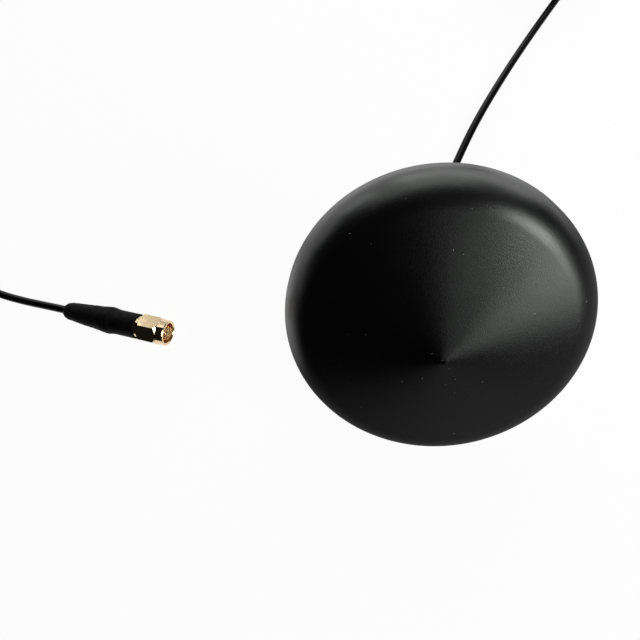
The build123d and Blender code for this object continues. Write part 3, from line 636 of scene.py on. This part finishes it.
def nut_thread_shape(radius, height, turn):
    """Radius of the nut's inner thread at a height and turn."""
    if radius == NUT_THREAD_RADIUS:
        return radius
    ends = min(height - NUT_THREAD_START, NUT_THREAD_END - height)
    rise = smooth_step(ends / NUT_THREAD_FADE) * (1 - thread_share(height, turn, NUT_THREAD_PITCH))
    return NUT_THREAD_RADIUS - NUT_THREAD_SKIN - NUT_THREAD_DEPTH * rise


def add_nut_thread():
    """The nut's inner thread, which turns with it."""
    count = round((NUT_THREAD_END - NUT_THREAD_START) / NUT_THREAD_PITCH * ROWS_PER_PITCH)
    step = (NUT_THREAD_END - NUT_THREAD_START) / count
    heights = [NUT_THREAD_START + number * step for number in range(count + 1)]
    rows = [(NUT_THREAD_RADIUS, heights[0])]
    rows += [(NUT_THREAD_RADIUS - NUT_THREAD_DEPTH, height) for height in heights]
    rows.append((NUT_THREAD_RADIUS, heights[-1]))
    thread = lathe("nut_thread", rows, NUT_THREAD_COLUMNS, plug_frame, nut_thread_shape)
    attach(thread, "coupling_nut")
    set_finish(thread, "plug_gold")
    return thread


lead = add_lead()
radome = add_radome()
stud = add_stud()
sleeve = add_sleeve()
nut_thread = add_nut_thread()


for row in frame["record"]["subparts"]:
    wear(nodes[row["node"]], row["material_slot"])
for piece in (radome, stud, sleeve, nut_thread):
    wear(piece, piece["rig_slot"])

# Floor: pale, and white to the camera, with a little of the shadow left
FLOOR_SIDE = 6.0
FLOOR_DROP = 0.05
FLOOR_COLOUR = (0.86, 0.86, 0.86, 1)
WHITE_TO_CAMERA = 0.95
# Painted reflection: to glossy rays the floor glows white behind the antenna and in a painted pool
# by the plug, and is painted dim before it, as shade. Each range is a stretch in metres, and the glow
# at its two ends: of Y plus BEHIND_TURN times X, of X, and of the distance from the plug's middle
BEHIND = ((0.02, 0.11), (0.0, 1.0))
BEHIND_TURN = -0.35
BEFORE = ((-0.13, 0.05), (0.0, 0.22))
PAINTED_GLOW_BY_PLUG = ((0.03, 0.06), (1.0, 0.0))
PLUG_MIDDLE = (-0.095, 0.005, 0)


def larger(tree, first, second):
    """The larger of two values."""
    node = tree.nodes.new("ShaderNodeMath")
    node.operation = "MAXIMUM"
    tree.links.new(first, node.inputs[0])
    tree.links.new(second, node.inputs[1])
    return node.outputs["Value"]


def floor_light(tree):
    """The share of the floor that glows for each kind of ray, and how strongly, with the painted reflection glow
    set by place; the rest is only lit.
    """
    path = tree.nodes.new("ShaderNodeLightPath")
    place = tree.nodes.new("ShaderNodeTexCoord")
    split = tree.nodes.new("ShaderNodeSeparateXYZ")
    tree.links.new(place.outputs["Object"], split.inputs["Vector"])
    camera = range_of(tree, path.outputs["Is Camera Ray"], (0, 1), (0, WHITE_TO_CAMERA))
    through = larger(tree, path.outputs["Is Glossy Ray"], path.outputs["Is Transmission Ray"])
    turned = tree.nodes.new("ShaderNodeMath")
    turned.operation = "MULTIPLY_ADD"
    turned.inputs[1].default_value = BEHIND_TURN
    tree.links.new(split.outputs["X"], turned.inputs[0])
    tree.links.new(split.outputs["Y"], turned.inputs[2])
    behind = range_of(tree, turned.outputs["Value"], *BEHIND)
    before = range_of(tree, split.outputs["X"], *BEFORE)
    apart = tree.nodes.new("ShaderNodeVectorMath")
    apart.operation = "DISTANCE"
    apart.inputs[1].default_value = PLUG_MIDDLE
    tree.links.new(place.outputs["Object"], apart.inputs[0])
    near = range_of(tree, apart.outputs["Value"], *PAINTED_GLOW_BY_PLUG)
    # Painted reflection: the glow that glossy rays see, painted brighter behind the antenna and by the plug
    painted_reflection = larger(tree, larger(tree, behind, before), near)
    strength = larger(tree, path.outputs["Is Camera Ray"], painted_reflection)
    return larger(tree, camera, through), strength


def add_floor():
    """The floor that everything lies on, plain to the camera, with a painted glow that reflections see."""
    half = FLOOR_SIDE / 2
    corners = [(-half, -half), (half, -half), (half, half), (-half, half)]
    mesh = bpy.data.meshes.new("floor")
    mesh.from_pydata([(x, y, -FLOOR_DROP * MM) for x, y in corners], [], [(0, 1, 2, 3)])
    floor = bpy.data.objects.new("floor", mesh)
    scene.collection.objects.link(floor)
    material = bpy.data.materials.new("floor_finish")
    material.use_nodes = True
    tree = material.node_tree
    tree.nodes.clear()
    lit = tree.nodes.new("ShaderNodeBsdfDiffuse")
    lit.inputs["Color"].default_value = FLOOR_COLOUR
    white = tree.nodes.new("ShaderNodeEmission")
    share, strength = floor_light(tree)
    tree.links.new(strength, white.inputs["Strength"])
    mix = tree.nodes.new("ShaderNodeMixShader")
    out = tree.nodes.new("ShaderNodeOutputMaterial")
    tree.links.new(share, mix.inputs["Fac"])
    tree.links.new(lit.outputs["BSDF"], mix.inputs[1])
    tree.links.new(white.outputs["Emission"], mix.inputs[2])
    tree.links.new(mix.outputs["Shader"], out.inputs["Surface"])
    mesh.materials.append(material)


add_floor()

# World: white to the camera, and a dim room to everything else
ROOM_STRENGTH = 0.01


def add_world():
    """The background of the views that look past the floor."""
    world = bpy.data.worlds.new("studio")
    scene.world = world
    world.use_nodes = True
    tree = world.node_tree
    background = tree.nodes["Background"]
    background.inputs["Color"].default_value = (1, 1, 1, 1)
    path = tree.nodes.new("ShaderNodeLightPath")
    strength = range_of(tree, path.outputs["Is Camera Ray"], (0, 1), (ROOM_STRENGTH, 1))
    tree.links.new(strength, background.inputs["Strength"])


add_world()

# Lamps: soft boxes round the antenna, by name, azimuth, elevation, width and height in degrees, and watts
LAMP_TARGET = Vector((0, 0, 0.025))
LAMP_DISTANCE = 0.8
LAMPS = [
    ("far_right", 60, 14, 30, 24, 1.0),
    ("far_middle", 90, 14, 30, 24, 1.15),
    ("far_left_inner", 107, 14, 8, 24, 0.29),
    ("far_left_middle", 118, 14, 12, 24, 0.13),
    ("far_left_outer", 130, 14, 14, 24, 0.52),
    ("far_side", 150, 9, 30, 14, 0.3),
    ("high_right", 60, 38, 30, 20, 0.15),
    ("high_middle", 90, 38, 30, 20, 0.75),
    ("high_left", 120, 38, 30, 20, 0.5),
    ("near_high", -5, 46, 18, 20, 3.1),
    ("near_middle", -14, 36, 14, 14, 0.4),
    ("near_right", -20, 26, 18, 22, 1.1),
    ("near_low", -35, 26, 18, 22, 0.5),
    ("side_top", -50, 62, 18, 20, 0.25),
]


def add_lamp(name, azimuth, elevation, width, height, power):
    """A soft box that faces the antenna."""
    data = bpy.data.lights.new(name + "_lamp", "AREA")
    data.shape = "RECTANGLE"
    data.size = 2 * LAMP_DISTANCE * tan(radians(width / 2))
    data.size_y = 2 * LAMP_DISTANCE * tan(radians(height / 2))
    data.energy = power
    lamp = bpy.data.objects.new(name + "_lamp", data)
    scene.collection.objects.link(lamp)
    turn, rise = radians(azimuth), radians(elevation)
    way = Vector((cos(turn) * cos(rise), sin(turn) * cos(rise), sin(rise)))
    lamp.location = LAMP_TARGET + way * LAMP_DISTANCE
    lamp.rotation_euler = way.to_track_quat("Z", "Y").to_euler()
    lamp.visible_camera = False


for lamp_row in LAMPS:
    add_lamp(*lamp_row)

# The scene brought up to date at the end
bpy.context.view_layer.update()
